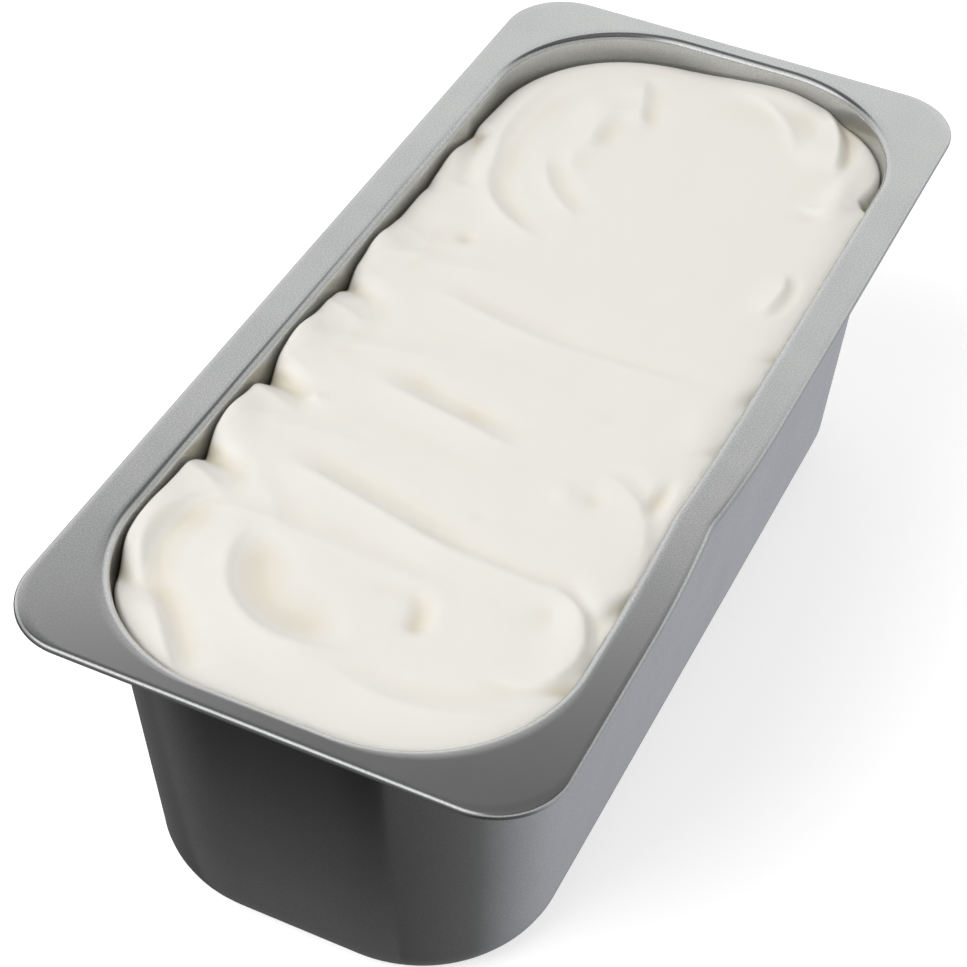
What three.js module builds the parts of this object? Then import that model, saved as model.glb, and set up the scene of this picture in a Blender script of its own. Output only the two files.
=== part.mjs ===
// An open ice cream pan, deep-drawn from one stainless-steel sheet, filled with white ice cream
// that was laid in with a spatula from the far end to the near one.
// Millimetres, +Z up, the origin in the middle of the base, +Y along the pan to its far end.

import * as THREE from 'three';

// Pan, measured outside
const RIM_WIDTH = 165;
const RIM_LENGTH = 360;
const RIM_CORNER = 22.4;
const DEPTH = 120;
const SHEET = 0.8;

// Opening in the flange, where the top face starts to bend down into the wall
const OPENING_WIDTH = 143.1;
const OPENING_LENGTH = 348.5;
const OPENING_CORNER = 52.4;
const WALL_BEND = 2.35;

// Outer wall where it runs into the rounded edge of the base
const FOOT_WIDTH = 128.4;
const FOOT_LENGTH = 318.2;
const FOOT_CORNER = 44.7;
const BASE_EDGE = 14;

// Turned-down lip round the flange
const LIP_ROUND = 1.2;
const LIP_DROP = 1.8;

// Knock in the right-hand flange: a shallow V in plan that dies out down the wall
const DENT_Y = -54;
const DENT_REACH = 50;
const DENT_AT_LIP = 2.7;
const DENT_AT_WALL = 1.5;
const DENT_FADE_DOWN = 30;

// Ice cream: clearance to the steel, depth of its level below the rim at the near and the far
// end, and the lowest ice cream that shows between the lobes and the wall
const CLEARANCE = 0.3;
const LEVEL_NEAR = 3.4;
const LEVEL_FAR = 6.45;
const LEVEL_RUN = 150;
const LOWEST = 17;
const LOWEST_BLEND = 2;

// Folds: start, middle and end of the crest in plan, its height, how far the high side slopes back,
// how wide the fall before the crest is and how far the hollow at its foot reaches. From start to
// end, the high side is on the right. The rise is the share of the height that stands above the
// level; the rest of it is hollow.
const FOLDS = [
  // round the smooth disc at the far end
  [[-53, 138], [-58.5, 110], [-51, 78], 3.4, 9, 8, 15],
  [[-54, 88], [-46, 65], [-24, 52], 2.9, 9, 6, 13],
  [[-39, 96], [-32, 81], [-15, 67], 2.4, 7, 6, 12],
  [[-27, 153], [-21.5, 138], [-17, 125], 3, 14, 6, 11],
  [[-24, 134], [-30, 121], [-27, 106], 3.2, 14, 7, 12],
  [[-28, 112], [-31, 102], [-28, 90], 1.2, 8, 6, 10],
  [[10, 162], [27, 151], [34, 136], 2.2, 6, 10, 14],
  [[36, 167], [46.5, 151], [50, 134], 5, 9, 4, 15],
  // tip of the ribbon in the far right corner, and a dab beside the right wall
  [[65, 121], [57, 110.5], [46, 107], 2, 10, 5, 10],
  [[56.5, 71], [58.5, 60], [56, 49], 4.2, 9, 4, 7],
  // far ends of the lobes along the left wall
  [[-73, 37.5], [-66, 37], [-52, 31], 1.2, 14, 9, 16],
  [[-73, -10], [-64, -10.5], [-50, -17], 2.2, 14, 9, 18],
  [[-73, -57], [-64, -57.5], [-50, -63], 2.6, 14, 9, 18],
  [[-73, -96], [-64, -97.5], [-50, -104], 2.8, 14, 9, 16],
  // near ends of the lobes along the left wall
  [[-49, 26], [-57.5, 22.5], [-67, 7], 1.8, 8, 6, 10],
  [[-49, -22], [-58, -26.5], [-67, -41], 1.8, 8, 6, 10],
  [[-50, -65.5], [-58, -68.5], [-66, -79], 1.5, 8, 6, 10],
  // strokes across the middle
  [[-60, 21], [-46, 24], [-22, 28.5], 0.8, 9, 7, 12],
  [[-38, 10.5], [-16, 6], [8, 2.5], 1.9, 16, 7, 12],
  [[0, 3.7], [24, 4], [54, 5.5], 0.7, 16, 3.5, 9],
  [[-60, -30], [-44, -23.5], [-18, -20], 1, 9, 8, 13],
  [[-36, -37], [-13, -41.5], [14, -46.5], 3.4, 14, 8, 14],
  [[44, -44.5], [59, -55], [65, -73], 1.6, 9, 5, 10],
  [[-60, -71], [-45, -67], [-22, -65.5], 0.9, 9, 8, 12],
  // the tongue before the near end, and its nose
  [[-41, -81.3], [-14, -87.5], [18, -94.5], 3.6, 14, 8, 14],
  [[2, -91.8], [28, -94], [54, -95.4], 1.4, 12, 4, 10],
  [[47, -93.5], [63.5, -107], [59, -130], 3, 10, 4, 9],
  [[65, -121], [60, -128], [46, -131.5], 1.6, 9, 4, 9],
  [[-50, -89], [-41, -95.5], [-31, -108], 0.9, 8, 6, 11],
  // the swirl at the near end
  [[-62, -114], [-50, -107.5], [-26, -107], 1.2, 10, 6, 11],
  [[-34, -106.6], [-6, -107.3], [26, -109.8], 0.7, 12, 6, 11],
  [[-38.5, -111], [-33.5, -133], [6, -142], 5, 14, 11, 26],
  [[8, -149.5], [40, -149.5], [64, -136.5], 2, 10, 7, 12],
  [[-55, -103], [-62.5, -121], [-51, -146], 5, 8, 6, 16],
  [[-50, -146], [-40, -157], [-28, -171], 4, 9, 6, 15],
];
const FOLD_RISE = 0.3;
const FOLD_CREST = 1.2;
const FOLD_FALL_POWER = 1.5;
const FOLD_FADE = 20;
const FOLD_FADE_SHARE = 0.4;
const FOLD_OVERRUN = 0.3;

// Clefts between lobes: start, middle and end in plan, depth at the start and at the end, half width
const CLEFTS = [
  // from the left wall inwards
  [[-65.5, 97], [-62.5, 85], [-58, 70], 3, 1.2, 4.5],
  [[-72, 62], [-66, 60.5], [-60, 58], 2.5, 0, 5],
  [[-72, 4], [-62, 1], [-46, -8], 6, 0, 7],
  [[-72, -47], [-61, -50], [-44, -57], 8, 0, 7],
  [[-72, -86], [-61, -89], [-46, -96], 8, 0, 7],
  // round the swirl at the near end
  [[-68, -139], [-60, -143], [-48, -145.5], 5.5, 1.5, 8],
  [[16, -113], [19.5, -118.5], [21, -124], 0.3, 1.6, 4.5],
  // from the right wall inwards
  [[72, 32], [67, 29.5], [58, 26], 2.5, 0, 4],
  [[72, 12], [67, 5], [63, -6], 3, 0, 5],
  [[72, -17], [66, -20.5], [54, -26], 2, 0, 4],
  [[71, -88], [66.5, -96], [65.5, -104], 4, 0.5, 4],
  [[72, -125], [65, -128], [58, -130], 3.5, 0.3, 3.5],
  // between the ribbon and the wall in the far right corner
  [[69, 122], [70.5, 140], [61, 166], 10, 7, 4.5],
];
const CLEFT_ROUND = 2;

// Small marks of the spatula: middle in plan, radii along X and Y, depth (below 0 stands up)
const MARKS = [
  [8, -115, 6, 4, 0.4], [-43, 41, 3, 3.5, 1], [-23, -31.5, 5, 4, 0.4], [-2, -37, 5, 3.5, 0.5],
  [-48, -53, 3, 2.5, -1], [44, -56, 3, 3.5, 0.6], [35.5, -58, 3.5, 4, -0.7], [33, -21, 3, 3, 0.25],
  [17, -77, 2.5, 2.5, 0.3], [51, -104, 4, 5, 0.35], [27, 44, 3, 3, -0.4], [-34, 128, 5, 9, -0.6],
  [42, 141, 5, 9, -1], [57, 118, 4, 12, -1.4], [-67, 24, 8, 9, -3.2], [-67, -29, 8, 10, -3.4],
  [-67, -71, 8, 9, -3.2], [-67, -118, 6, 15, -2.4], [-67, 79, 5, 9, -2], [60, -106, 4, 12, -0.6],
  [60, -12, 5, 8, -0.6], [-18, 134, 3, 5, 0.6], [-26, 118, 3, 6, 0.3], [61, -46, 2.5, 7, 1.6],
  [17, 168, 14, 8, -2],
];

// Round shoulder along the walls: its width, its depth at each wall and where that sets in, and the
// nip close to the steel
const SHOULDER_WIDTH = 11;
const SHOULDER_POWER = 2.4;
const SHOULDER_LEFT = 0.5;
const SHOULDER_RIGHT = 0.3;
const SHOULDER_NEAR = 0.3;
const SHOULDER_FAR = 1.6;
const SHOULDER_FAR_LEFT = 5.8;
const SIDE_RUN = [20, 60];
const FAR_RUN = [110, 165];
const NEAR_RUN = [120, 165];
const FAR_LEFT_RUN = [85, 150];
const LEFT_RUN = [-20, 40];
const NIP_WIDTH = 2.5;
const NIP_LEFT = 5;
const NIP_RIGHT = 0.8;

// Facets
const CORNER_STEPS = 8;
const SIDE_STEPS = 18;
const END_STEPS = 2;
const BEND_STEPS = 3;
const BASE_STEPS = 4;
const DENT_STEPS = 3;
const ICE_COLUMNS = 38;
const ICE_CORNER_ROWS = 9;
const ICE_SIDE_ROWS = 66;

const { clamp, lerp, smoothstep } = THREE.MathUtils;
const QUARTER_TURN = Math.PI / 2;
const FULL_TURN = 2 * Math.PI;

const count = (length, each) => Array.from({ length }, (_, k) => each(k));

// A rounded rectangle in plan, given by half its width, half its length and its corner radius
const plan = (halfX, halfY, corner) => ({ halfX, halfY, corner });

function inset(size, by) {
  return plan(size.halfX - by, size.halfY - by, size.corner - by);
}

function between(a, b, t) {
  return plan(lerp(a.halfX, b.halfX, t), lerp(a.halfY, b.halfY, t), lerp(a.corner, b.corner, t));
}

const RIM = plan(RIM_WIDTH / 2, RIM_LENGTH / 2, RIM_CORNER);
const OPENING = plan(OPENING_WIDTH / 2, OPENING_LENGTH / 2, OPENING_CORNER);
const FOOT = plan(FOOT_WIDTH / 2, FOOT_LENGTH / 2, FOOT_CORNER);
const WALL_TOP = inset(OPENING, WALL_BEND - SHEET);
const WALL_TOP_Z = DEPTH - WALL_BEND;

// A face that runs a given thickness inside the outer wall, at a height: tapered and straight
// down to the base's edge, then round that edge
function wallFace(z, thickness) {
  const up = (Math.max(z, BASE_EDGE) - BASE_EDGE) / (WALL_TOP_Z - BASE_EDGE);
  const radius = BASE_EDGE - thickness;
  const below = clamp(BASE_EDGE - z, 0, radius);
  return inset(between(FOOT, WALL_TOP, up), thickness + radius - Math.sqrt(radius ** 2 - below ** 2));
}

// How far the knock pushes a point of the right-hand side in
function dent(x, y, z) {
  const along = clamp(1 - Math.abs(y - DENT_Y) / DENT_REACH, 0, 1) ** 2;
  const down = clamp(1 - (DEPTH - z) / DENT_FADE_DOWN, 0, 1) ** 2;
  const across = clamp((x - OPENING.halfX) / (RIM.halfX - OPENING.halfX), 0, 1);
  return x > 0 ? along * down * lerp(DENT_AT_WALL, DENT_AT_LIP, across) : 0;
}

// Points round a rounded rectangle at a height, counter-clockwise from above
function ring({ halfX, halfY, corner }, z) {
  const endX = halfX - corner;
  const endY = halfY - corner;
  const side = (fromX, fromY, toX, toY, steps) => count(steps, (k) => (
    [lerp(fromX, toX, k / steps), lerp(fromY, toY, k / steps)]));
  const turn = (x, y, start) => count(CORNER_STEPS, (k) => {
    const angle = start + (k / CORNER_STEPS) * QUARTER_TURN;
    return [x + corner * Math.cos(angle), y + corner * Math.sin(angle)];
  });
  return [
    ...side(halfX, -endY, halfX, endY, SIDE_STEPS),
    ...turn(endX, endY, 0),
    ...side(endX, halfY, -endX, halfY, END_STEPS),
    ...turn(-endX, endY, QUARTER_TURN),
    ...side(-halfX, endY, -halfX, -endY, SIDE_STEPS),
    ...turn(-endX, -endY, 2 * QUARTER_TURN),
    ...side(-endX, -halfY, endX, -halfY, END_STEPS),
    ...turn(endX, -endY, 3 * QUARTER_TURN),
  ].map(([x, y]) => new THREE.Vector3(x - dent(x, y, z), y, z));
}

// Triangles between rings of vertex numbers, each ring the next one along the surface
function skin(rings) {
  return rings.slice(1).flatMap((after, k) => after.flatMap((corner, j) => {
    const before = rings[k];
    const next = (j + 1) % after.length;
    return [before[j], corner, after[next], before[j], after[next], before[next]];
  }));
}

// Triangles from a middle vertex to a ring, facing up for a counter-clockwise ring
function fan(middle, around) {
  return around.flatMap((corner, j) => [middle, corner, around[(j + 1) % around.length]]);
}

function closedGeometry(vertices, triangles) {
  const geometry = new THREE.BufferGeometry().setFromPoints(vertices);
  geometry.setIndex(triangles);
  geometry.computeVertexNormals();
  return geometry;
}

// The heights of the rings round the base's edge, from the flat up to the wall
function baseHeights(radius, bottom) {
  return count(BASE_STEPS + 1, (k) => bottom + radius * (1 - Math.cos((k / BASE_STEPS) * QUARTER_TURN)));
}

// The heights of the rings on the wall from the foot of the knock up to the bend
function dentHeights() {
  return count(DENT_STEPS, (k) => lerp(DEPTH - DENT_FADE_DOWN, WALL_TOP_Z, k / DENT_STEPS));
}

// The pan's skin runs from the middle of its floor up the inside, over the flange and its lip,
// and down the outside to the middle of the base
function panGeometry() {
  const angles = count(BEND_STEPS + 1, (k) => (k / BEND_STEPS) * QUARTER_TURN);
  const bend = (radius) => (angle) => (
    ring(inset(OPENING, radius * Math.cos(angle)), WALL_TOP_Z + radius * Math.sin(angle)));
  const lip = (angle) => (
    ring(inset(RIM, LIP_ROUND * (1 - Math.sin(angle))), DEPTH - LIP_ROUND * (1 - Math.cos(angle))));
  const rings = [
    ...baseHeights(BASE_EDGE - SHEET, SHEET).map((z) => ring(wallFace(z, SHEET), z)),
    ...dentHeights().map((z) => ring(wallFace(z, SHEET), z)),
    ...angles.map(bend(WALL_BEND)),
    ...angles.map(lip),
    ring(RIM, DEPTH - LIP_DROP),
    ring(inset(RIM, SHEET), DEPTH - LIP_DROP),
    ring(inset(RIM, SHEET), DEPTH - LIP_ROUND),
    ring(inset(RIM, LIP_ROUND), DEPTH - SHEET),
    ...angles.toReversed().map(bend(WALL_BEND - SHEET)),
    ...dentHeights().reverse().map((z) => ring(wallFace(z, 0), z)),
    ...baseHeights(BASE_EDGE, 0).reverse().map((z) => ring(wallFace(z, 0), z)),
  ];
  const vertices = rings.flat();
  const around = rings[0].length;
  const numbers = rings.map((_, k) => count(around, (j) => k * around + j));
  const floorMiddle = vertices.push(new THREE.Vector3(0, 0, SHEET)) - 1;
  const baseMiddle = vertices.push(new THREE.Vector3(0, 0, 0)) - 1;
  return closedGeometry(vertices, [
    ...skin(numbers),
    ...fan(floorMiddle, numbers[0]),
    ...fan(baseMiddle, numbers.at(-1).toReversed()),
  ]);
}

// The larger of two heights, with a soft blend where they meet
function softMax(a, b, blend) {
  const share = clamp(0.5 + (0.5 * (a - b)) / blend, 0, 1);
  return lerp(b, a, share) + blend * share * (1 - share);
}

// How far right of the arc through three points a place lies, how far along it, and its length
function alongArc(x, y, [ax, ay], [bx, by], [cx, cy]) {
  const twiceArea = (bx - ax) * (cy - ay) - (by - ay) * (cx - ax);
  const b2 = (bx - ax) ** 2 + (by - ay) ** 2;
  const c2 = (cx - ax) ** 2 + (cy - ay) ** 2;
  const middleX = ax + ((cy - ay) * b2 - (by - ay) * c2) / (2 * twiceArea);
  const middleY = ay + ((bx - ax) * c2 - (cx - ax) * b2) / (2 * twiceArea);
  const radius = Math.hypot(ax - middleX, ay - middleY);
  const way = Math.sign(twiceArea);
  const startAngle = Math.atan2(ay - middleY, ax - middleX);
  const turned = (px, py) => {
    const angle = way * (Math.atan2(py - middleY, px - middleX) - startAngle);
    return ((angle % FULL_TURN) + FULL_TURN) % FULL_TURN;
  };
  const span = turned(cx, cy);
  const at = turned(x, y);
  return {
    right: way * (Math.hypot(x - middleX, y - middleY) - radius),
    along: radius * (at > (FULL_TURN + span) / 2 ? at - FULL_TURN : at),
    length: radius * span,
  };
}

// What one fold adds: a crest with a slope behind it and a fall to a hollow before it
function foldHeight(x, y, [start, middle, end, height, back, fall, hollow]) {
  const { right, along, length } = alongArc(x, y, start, middle, end);
  const fade = Math.min(FOLD_FADE, length * FOLD_FADE_SHARE);
  const present = (distance) => smoothstep(distance, -fade * FOLD_OVERRUN, fade * (1 - FOLD_OVERRUN));
  const behind = softMax(right, 0, FOLD_CREST);
  const before = softMax(-right, 0, FOLD_CREST);
  const down = clamp(1 - before / fall, 0, 1) ** FOLD_FALL_POWER;
  const high = FOLD_RISE * clamp(1 - behind / back, 0, 1) ** 2;
  const low = (1 - FOLD_RISE) * clamp(1 - before / hollow, 0, 1) ** 2;
  return height * present(along) * present(length - along) * (down * high - (1 - down) * low);
}

// How deep one cleft cuts: sharp at the bottom, rounding off upwards into the lobes beside it
function cleftDepth(x, y, [start, middle, end, depthStart, depthEnd, halfWidth]) {
  const { right, along, length } = alongArc(x, y, start, middle, end);
  const share = clamp(along / length, 0, 1);
  const off = Math.hypot(right, along - share * length, CLEFT_ROUND) - CLEFT_ROUND;
  return lerp(depthEnd, depthStart, (1 - share) ** 2) * clamp(1 - off / halfWidth, 0, 1) ** 2;
}

function markDepth(x, y, [markX, markY, radiusX, radiusY, depth]) {
  return depth * Math.exp(-(((x - markX) / radiusX) ** 2) - ((y - markY) / radiusY) ** 2);
}

// Distance in from a rounded rectangle
function distanceInside(x, y, { halfX, halfY, corner }) {
  const outX = Math.abs(x) - (halfX - corner);
  const outY = Math.abs(y) - (halfY - corner);
  return corner - Math.hypot(Math.max(outX, 0), Math.max(outY, 0)) - Math.min(Math.max(outX, outY), 0);
}

const INNER_TOP = wallFace(WALL_TOP_Z, SHEET);

// How far the surface falls along the walls: in a round shoulder, and a nip close to the steel
function wallFall(x, y) {
  const inside = distanceInside(x, y, INNER_TOP);
  const leftHalf = smoothstep(-x, ...LEFT_RUN);
  const shoulder = Math.max(
    SHOULDER_LEFT * smoothstep(-x, ...SIDE_RUN) + SHOULDER_RIGHT * smoothstep(x, ...SIDE_RUN),
    SHOULDER_FAR * smoothstep(y, ...FAR_RUN) + SHOULDER_NEAR * smoothstep(-y, ...NEAR_RUN),
    SHOULDER_FAR_LEFT * smoothstep(y, ...FAR_LEFT_RUN) * leftHalf,
  );
  return shoulder * clamp(1 - inside / SHOULDER_WIDTH, 0, 1) ** SHOULDER_POWER
    + lerp(NIP_RIGHT, NIP_LEFT, leftHalf) * clamp(1 - inside / NIP_WIDTH, 0, 1) ** 2;
}

// Height of the ice cream's surface over a point in plan
function iceHeight(x, y) {
  const total = (list, each) => list.reduce((sum, item) => sum + each(x, y, item), 0);
  const level = lerp(LEVEL_NEAR, LEVEL_FAR, smoothstep(y, -LEVEL_RUN, LEVEL_RUN));
  const surface = total(FOLDS, foldHeight) - level - total(CLEFTS, cleftDepth)
    - total(MARKS, markDepth) - wallFall(x, y);
  return DEPTH + softMax(surface, -LOWEST, LOWEST_BLEND);
}

// Where a column and a row of the ice cream's grid meet within a rounded rectangle: the rows end on
// its outline, closer together round the corners
const ICE_ROWS = 2 * ICE_CORNER_ROWS + ICE_SIDE_ROWS;

function gridPoint(column, row, { halfX, halfY, corner }) {
  const angle = Math.min(Math.min(row, ICE_ROWS - row) / ICE_CORNER_ROWS, 1) * QUARTER_TURN;
  const halfRow = halfX - corner * (1 - Math.sin(angle));
  const along = (2 * row - ICE_ROWS) / ICE_SIDE_ROWS;
  const straight = clamp(along, -1, 1) * (halfY - corner);
  const round = Math.abs(along) > 1 ? Math.sign(along) * corner * Math.cos(angle) : 0;
  return [halfRow * ((2 * column) / ICE_COLUMNS - 1), straight + round];
}

// The ice cream: its folded surface, sides that follow the wall just clear of the steel, and a
// flat bottom. Every point is drawn in with the taper of the wall at its own height.
function iceGeometry() {
  const gap = SHEET + CLEARANCE;
  const inPan = (column, row, z) => {
    const [x, y] = gridPoint(column, row, wallFace(z, gap));
    const pushed = column === ICE_COLUMNS ? dent(x, y, z) : 0;
    return new THREE.Vector3(x - pushed, y, z);
  };
  const surfaceSize = wallFace(DEPTH - LEVEL_FAR, gap);
  const number = (column, row) => row * (ICE_COLUMNS + 1) + column;
  const vertices = count(ICE_ROWS + 1, (row) => count(ICE_COLUMNS + 1, (column) => (
    inPan(column, row, iceHeight(...gridPoint(column, row, surfaceSize)))))).flat();

  // each cell is cut along the diagonal that is closer to level, so that creases stay whole
  const surface = count(ICE_ROWS, (row) => count(ICE_COLUMNS, (column) => {
    const [a, b] = [number(column, row), number(column + 1, row)];
    const [c, d] = [number(column + 1, row + 1), number(column, row + 1)];
    const rise = (from, to) => Math.abs(vertices[from].z - vertices[to].z);
    return rise(a, c) < rise(b, d) ? [a, b, c, a, c, d] : [b, c, d, b, d, a];
  })).flat(2);

  const edge = [
    ...count(ICE_ROWS, (row) => [ICE_COLUMNS, row]),
    ...count(ICE_COLUMNS, (column) => [ICE_COLUMNS - column, ICE_ROWS]),
    ...count(ICE_ROWS, (row) => [0, ICE_ROWS - row]),
    ...count(ICE_COLUMNS, (column) => [column, 0]),
  ];
  const sides = [edge.map(([column, row]) => number(column, row))];
  baseHeights(BASE_EDGE - gap, gap).reverse().forEach((z) => {
    sides.push(edge.map(([column, row]) => vertices.push(inPan(column, row, z)) - 1));
  });
  const bottomMiddle = vertices.push(new THREE.Vector3(0, 0, gap)) - 1;
  return closedGeometry(vertices, [
    ...surface,
    ...skin(sides),
    ...fan(bottomMiddle, sides.at(-1).toReversed()),
  ]);
}

function part(name, geometry, material) {
  const mesh = new THREE.Mesh(geometry, new THREE.MeshStandardMaterial(material));
  mesh.name = name;
  return mesh;
}

const filledPan = new THREE.Group();
filledPan.add(part('pan', panGeometry(), { color: 0xa9aba8, metalness: 1, roughness: 0.35 }));
filledPan.add(part('ice_cream', iceGeometry(), { color: 0xf2eee3, metalness: 0, roughness: 0.55 }));

export default filledPan;
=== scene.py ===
"""An open stainless-steel ice cream pan, filled close to its rim with folded white ice cream."""
import math

import bpy
import numpy as np
from mathutils import Matrix, Vector


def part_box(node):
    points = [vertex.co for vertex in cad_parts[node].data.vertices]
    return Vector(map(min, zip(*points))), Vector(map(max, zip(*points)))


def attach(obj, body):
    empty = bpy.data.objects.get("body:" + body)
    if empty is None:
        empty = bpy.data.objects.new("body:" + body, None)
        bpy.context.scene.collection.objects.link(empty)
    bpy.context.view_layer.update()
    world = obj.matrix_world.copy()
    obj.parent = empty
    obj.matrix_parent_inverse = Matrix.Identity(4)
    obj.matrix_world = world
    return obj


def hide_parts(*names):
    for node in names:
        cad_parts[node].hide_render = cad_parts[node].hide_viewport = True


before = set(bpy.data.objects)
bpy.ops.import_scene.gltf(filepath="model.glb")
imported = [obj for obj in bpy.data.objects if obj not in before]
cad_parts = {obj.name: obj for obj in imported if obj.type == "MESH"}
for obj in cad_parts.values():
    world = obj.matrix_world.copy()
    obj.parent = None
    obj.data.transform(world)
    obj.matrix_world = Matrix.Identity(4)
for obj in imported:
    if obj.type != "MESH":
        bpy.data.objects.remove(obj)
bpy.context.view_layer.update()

# Pan: one sheet of stainless steel, deep-drawn with a tapered wall and a wide round base edge.
# It hangs in a display case by its flat flange, whose outer edge is turned down into a small lip.
# A knock has pushed the right-hand flange in, in a shallow V that dies out down the wall.
MM = 0.001
pan_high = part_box("pan")[1]
DEPTH = pan_high.z
SHEET = 0.8 * MM
# half width, half length and corner radius of the rounded rectangles that the sheet runs through
RIM = np.array((pan_high.x, pan_high.y, 22.4 * MM))
OPENING = np.array((71.55, 174.25, 52.4)) * MM
FOOT = np.array((64.2, 159.1, 44.7)) * MM
WALL_BEND = 2.35 * MM
BASE_EDGE = 14 * MM
LIP_ROUND = 1.2 * MM
LIP_DROP = 1.8 * MM
DENT_Y = -54 * MM
DENT_REACH = 50 * MM
DENT_AT_WALL = 1.5 * MM
DENT_AT_LIP = 2.7 * MM
DENT_FADE_DOWN = 30 * MM
SEAM = 0.001 * MM           # points closer than this are one, where the first and last columns meet
SHEET_EDGE_ANGLE = 50       # degrees; only the cut edge of the sheet turns more sharply

# rows of the mesh from the middle of the floor to the lip, and columns round the pan
PROFILE_ROWS = {"floor": 10, "base edge": 10, "wall": 32, "bend": 8, "flange": 8, "lip": 6, "drop": 2}
SIDE_COLUMNS, CORNER_COLUMNS, END_COLUMNS = 96, 26, 12
ROUND_COLUMNS = {
    "right side": SIDE_COLUMNS, "far right corner": CORNER_COLUMNS,
    "far end": END_COLUMNS, "far left corner": CORNER_COLUMNS,
    "left side": SIDE_COLUMNS, "near left corner": CORNER_COLUMNS,
    "near end": END_COLUMNS, "near right corner": CORNER_COLUMNS,
}


def add_node(tree, kind, inputs=(), **settings):
    """Adds a node with its settings, gives its inputs values or links, and returns its outputs."""
    node = tree.nodes.new(kind)
    for name, value in settings.items():
        setattr(node, name, value)
    for name, value in inputs.items() if isinstance(inputs, dict) else enumerate(inputs):
        if isinstance(value, bpy.types.NodeSocket):
            tree.links.new(value, node.inputs[name])
        else:
            node.inputs[name].default_value = value
    return node.outputs


def linear(hex_colour):
    """An sRGB hex colour as linear red, green, blue and alpha."""
    channels = [int(hex_colour[k:k + 2], 16) / 255 for k in (1, 3, 5)]
    return [c / 12.92 if c <= 0.04045 else ((c + 0.055) / 1.055) ** 2.4 for c in channels] + [1]


# Satin stainless steel, cold-rolled and lightly pickled: a soft blurred mirror with a fine frosty
# grain, and wiped-on smears a few centimetres wide that are a little duller than the rest.
STEEL = "#d2d3d1"
STEEL_DULL = "#b8baba"
STEEL_ROUGHNESS = 0.2
STEEL_ROUGHNESS_SPREAD = 0.05
STEEL_GRAIN = 0.5 * MM      # the real grit is finer: drawn this coarse so that it shows
STEEL_GRAIN_DEPTH = 0.03 * MM
STEEL_GRAIN_BUMP = 0.14
STEEL_GRAIN_SHARE = 0.75    # of what is dull; the rest is smears
STEEL_SMEAR = 30 * MM
NOISE_LOW, NOISE_HIGH = 0.3, 0.7    # where most of a noise texture's values lie

steel = bpy.data.materials.new("satin stainless steel")
steel.use_nodes = True
steel.node_tree.nodes.clear()
place = add_node(steel.node_tree, "ShaderNodeTexCoord")["Object"]
grain = add_node(steel.node_tree, "ShaderNodeTexNoise",
                 {"Vector": place, "Scale": 1 / STEEL_GRAIN, "Detail": 2.0, "Roughness": 0.6})[0]
smear = add_node(steel.node_tree, "ShaderNodeTexNoise",
                 {"Vector": place, "Scale": 1 / STEEL_SMEAR, "Detail": 4.0, "Roughness": 0.55})[0]
dull = add_node(steel.node_tree, "ShaderNodeMath", (grain, STEEL_GRAIN_SHARE), operation="MULTIPLY")[0]
dull = add_node(steel.node_tree, "ShaderNodeMath", (smear, 1 - STEEL_GRAIN_SHARE, dull),
                operation="MULTIPLY_ADD")[0]
dull = add_node(steel.node_tree, "ShaderNodeMapRange",
                {"Value": dull, "From Min": NOISE_LOW, "From Max": NOISE_HIGH})[0]
roughness = add_node(steel.node_tree, "ShaderNodeMapRange", {
    "Value": dull, "To Min": STEEL_ROUGHNESS - STEEL_ROUGHNESS_SPREAD,
    "To Max": STEEL_ROUGHNESS + STEEL_ROUGHNESS_SPREAD})[0]
colour = add_node(steel.node_tree, "ShaderNodeMix",
                  {0: dull, 6: linear(STEEL), 7: linear(STEEL_DULL)}, data_type="RGBA")[2]
bump = add_node(steel.node_tree, "ShaderNodeBump",
                {"Height": grain, "Strength": STEEL_GRAIN_BUMP, "Distance": STEEL_GRAIN_DEPTH})[0]
surface = add_node(steel.node_tree, "ShaderNodeBsdfPrincipled", {
    "Base Color": colour, "Metallic": 1.0, "Roughness": roughness, "Normal": bump})[0]
add_node(steel.node_tree, "ShaderNodeOutputMaterial", {"Surface": surface})

# The sheet's upper face follows one rule: rounded rectangles that grow from the middle of the
# floor, round the base edge, up the wall, over the bend and the flange, and down the lip.
pan_sizes = {
    "Floor flat": FOOT - BASE_EDGE,
    "Base edge": BASE_EDGE - SHEET,
    "Wall growth": (OPENING - WALL_BEND) - (FOOT - SHEET),
    "Wall height": DEPTH - WALL_BEND - BASE_EDGE,
    "Wall bend": WALL_BEND,
    "Flange growth": (RIM - LIP_ROUND) - OPENING,
    "Lip round": LIP_ROUND,
    "Lip drop": LIP_DROP - LIP_ROUND,
    "Floor height": SHEET,
    "Rim height": DEPTH,
    "Rim half width": RIM[0],
    "Opening half width": OPENING[0],
    "Dent middle": DENT_Y,
    "Dent reach": DENT_REACH,
    "Dent at wall": DENT_AT_WALL,
    "Dent at lip": DENT_AT_LIP,
    "Dent fade down": DENT_FADE_DOWN,
}
tree = bpy.data.node_groups.new("deep-drawn pan", "GeometryNodeTree")
tree.interface.new_socket("Pan", in_out="OUTPUT", socket_type="NodeSocketGeometry")
size_sockets = {
    name: tree.interface.new_socket(
        name, in_out="INPUT",
        socket_type="NodeSocketVector" if np.size(value) == 3 else "NodeSocketFloat").identifier
    for name, value in pan_sizes.items()}
size = add_node(tree, "NodeGroupInput")

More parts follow.
